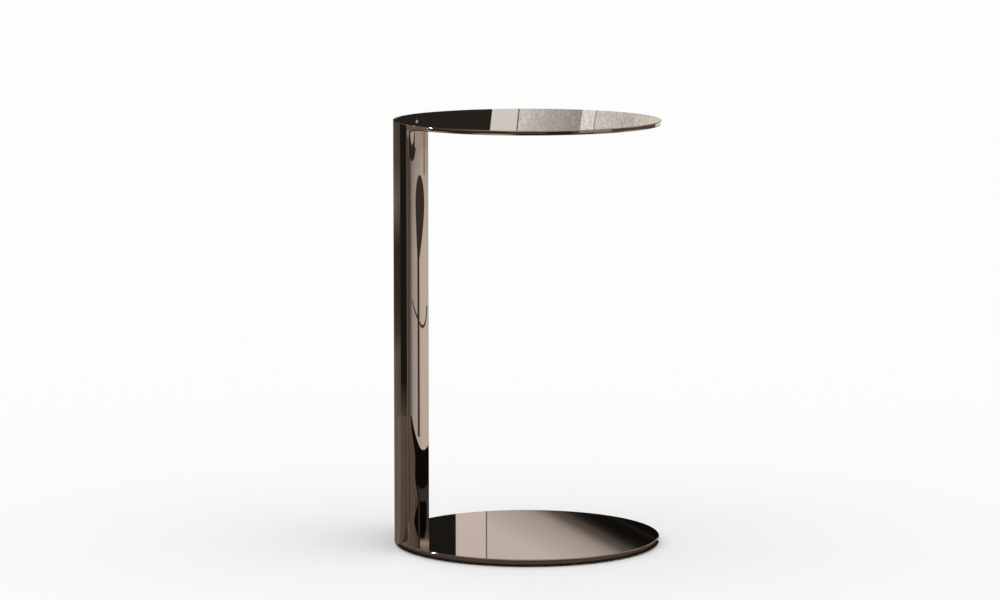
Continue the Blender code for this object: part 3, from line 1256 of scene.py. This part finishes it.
base_edges = (-1.6, -0.140, -0.0690, -0.0660, 0.9)
base_tones = (BASE_DARK, BASE_PALE, LINE_TONE, slanted_shade)
for number, tone in enumerate(base_tones):
    left, right = base_edges[number : number + 2]
    stand_card(f"base_card_{number + 1}", tone, (left, WALL_AWAY), (right, WALL_AWAY), *BASE_ROW)
rounding = [(CORNER_LEFT, CORNER_TOP)]
for side, up in span(CORNER_TURN, 1):
    across = CORNER_MIDDLE[0] + CORNER_SIZE[0] * side
    rounding.append((across, CORNER_MIDDLE[1] + CORNER_SIZE[1] * up))
rounding.append((CORNER_MIDDLE[0], CORNER_TOP))
corner_away = WALL_AWAY - IN_FRONT
outline_card("base_corner", BASE_DARK, [(across, corner_away, up) for across, up in rounding])
print("lower row:", len(base_tones), "cards and one rounded corner")

# %% [markdown]
# The round outside of the post and the rims look sideways and forwards. Low flags stand close behind the
# post at the left, and a row of dark flags stands in front with paler ones at the right. A low arc at the
# back right shades the rim of the top.

# %% Flags
FLAG_HEIGHT = 0.55
FLAG_DARK = (0.019, 0.017, 0.013)
FLAG_FOOT = (0.10, 0.085, 0.068)
FLAG_WARMTH = (1, 0.83, 0.67)
FLAG_PLACES = ((-0.16, 1.10), (-0.86, 0.82), (-1.05, 0.60))
FRONT_RADIUS = 5.6
RIM_SHADE_TONE = (0.13, 0.11, 0.09)
RIM_SHADE_AWAY = 1
RIM_SHADE_LEVELS = (0.466, 0.53)
flag_shades = (
    (0, 0.165),
    (0.10, 0.14),
    (0.18, 0.15),
    (0.25, 0.075),
    (0.32, 0.055),
    (0.50, 0.045),
    (0.63, 0.19),
    (0.74, 0.11),
    (1, 0.08),
)
front_flags = (
    ("front_left", (0.045, 0.039, 0.032), 196, 270, 5, 0, 1.2),
    ("front_middle", (0.10, 0.087, 0.073), 164, 196, 2, 0, 1.2),
    ("front_right", (0.035, 0.03, 0.025), 142, 164, 2, 0, 1.2),
    ("left_brown", (0.24, 0.20, 0.165), 270, 312, 3, 0, 0.5),
    ("front_brown", (0.135, 0.115, 0.095), 136, 142, 1, 0, 1.2),
    ("right_card", (0.63, 0.575, 0.53), 60, 104, 3, 0, 0.4),
    ("right_brown", (0.48, 0.43, 0.39), 104, 136, 2, 0.05, 0.4),
    ("right_foot", CORNER_BROWN, 104, 136, 2, 0, 0.05),
    ("right_high", (0.38, 0.335, 0.295), 110, 136, 2, 0.4, 1.3),
    ("back_brown", (0.26, 0.215, 0.18), 44, 59.5, 1, 0.6, 1.4),
)
behind = fade("Y", *tinted(flag_shades, FLAG_WARMTH))
stand_card("flag_behind", behind, *FLAG_PLACES[:2], 0, FLAG_HEIGHT)
beside = fade("Y", (0, FLAG_FOOT), (0.10, FLAG_DARK), (1, FLAG_DARK))
stand_card("flag_left", beside, *FLAG_PLACES[1:], 0, FLAG_HEIGHT)
for name, tone, start, end, steps, low, high in front_flags:
    arc_of_cards(name, tone, spread(start, end, steps), FRONT_RADIUS, low, high)
arc_of_cards("rim_shade", RIM_SHADE_TONE, spread(46, 110, 4), RIM_SHADE_AWAY, *RIM_SHADE_LEVELS)
print("flags: 2 behind the post,", len(front_flags), "sorts round the front,", FRONT_RADIUS, "m out")

# %% [markdown]
# A dark drop on a thin stand is painted shadow: it copies a cast shadow in the room, a round head on a
# long stalk, and puts one clear dark mark in the hollow face, which is mostly pale. Its head is half an
# ellipse, and its sides draw in and swing over towards the stand.

# %% Painted shadow: a dark drop on its stand
DROP_SHADOW_TONE = (0.075, 0.06, 0.047)
DROP_AWAY = 0.75
DROP_ANGLE = 68.8
DROP_HALF_ANGLE = 6.25
DROP_TOP = 0.405
DROP_MIDDLE = 0.361
DROP_FOOT = 0.274
DROP_STEPS = 8
DROP_TAPER = 0.78
DROP_TAPER_POWER = 1.5
DROP_SWING = 2.2
STAND_ANGLES = (65.1, 68.1)


def drop_side(side):
    """One side of the drop, from its top round its head and down to its foot."""
    places = []
    for step in range(DROP_STEPS + 1):
        turn = math.pi / 2 * step / DROP_STEPS
        height = DROP_MIDDLE + (DROP_TOP - DROP_MIDDLE) * math.cos(turn)
        places.append((side * math.sin(turn), 0, height))
    for step in range(1, DROP_STEPS + 1):
        down = step / DROP_STEPS
        half = side * (1 - DROP_TAPER * down**DROP_TAPER_POWER)
        height = DROP_MIDDLE - (DROP_MIDDLE - DROP_FOOT) * down
        places.append((half, -DROP_SWING * down**2, height))
    return [
        (*around(DROP_ANGLE + DROP_HALF_ANGLE * half + shift, DROP_AWAY, POST_FACE), height)
        for half, shift, height in places
    ]


# Painted shadow: the drop and its stand are dark cards in the shape of a cast shadow.
outline_card("painted_shadow_drop", DROP_SHADOW_TONE, drop_side(-1) + drop_side(1)[:0:-1])
stand_card("painted_shadow_stand", DROP_SHADOW_TONE, *span(STAND_ANGLES, DROP_AWAY, POST_FACE), 0, DROP_FOOT)
print("drop:", round(1000 * (DROP_TOP - DROP_FOOT)), "mm high on a stand of", DROP_FOOT, "m")

# %% [markdown]
# Two small, very bright cards at the left light nothing and stand in for lamps: they put painted glints
# on the eased rims. A far smaller glowing card puts a painted light spot on the top, and a thin brown rod
# puts a short line in the hollow face, above the drop.

# %% Glints and a rod
GLINT_AWAY = 2.6
GLINT_LEVELS = (1.4, 1.63)
SPOT_SIDES = (-0.2315, -0.2270)
SPOT_LEVELS = (0.8965, 0.900)
ROD_TONE = (0.42, 0.36, 0.31)
ROD_ANGLES = (74, 76)
ROD_LEVELS = (0.405, 0.50)
for name, tone, angles in (
    ("glint_1", (110, 104, 97), (270, 277)),
    ("glint_2", (5, 4.7, 4.4), (295.5, 300.5)),
):
    stand_card(name, tone, *span(angles, GLINT_AWAY), *GLINT_LEVELS)
spot_feet = [(across, WALL_AWAY - IN_FRONT) for across in SPOT_SIDES]
stand_card("glint_3", PANEL_TONE, *spot_feet, *SPOT_LEVELS)
stand_card("brown_rod", ROD_TONE, *span(ROD_ANGLES, DROP_AWAY, POST_FACE), *ROD_LEVELS)

# %% [markdown]
# ## The box after dressing
# The dressed table must fill the same box as the imported one, so the script prints how much the box grew.

# %% Growth of the box
bpy.context.scene.view_settings.view_transform = "Standard"
visual_low, visual_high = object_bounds()
growth = visual_high - visual_low - cad_high + cad_low
print("box grew by", [round(1000 * value, 3) for value in growth], "mm")
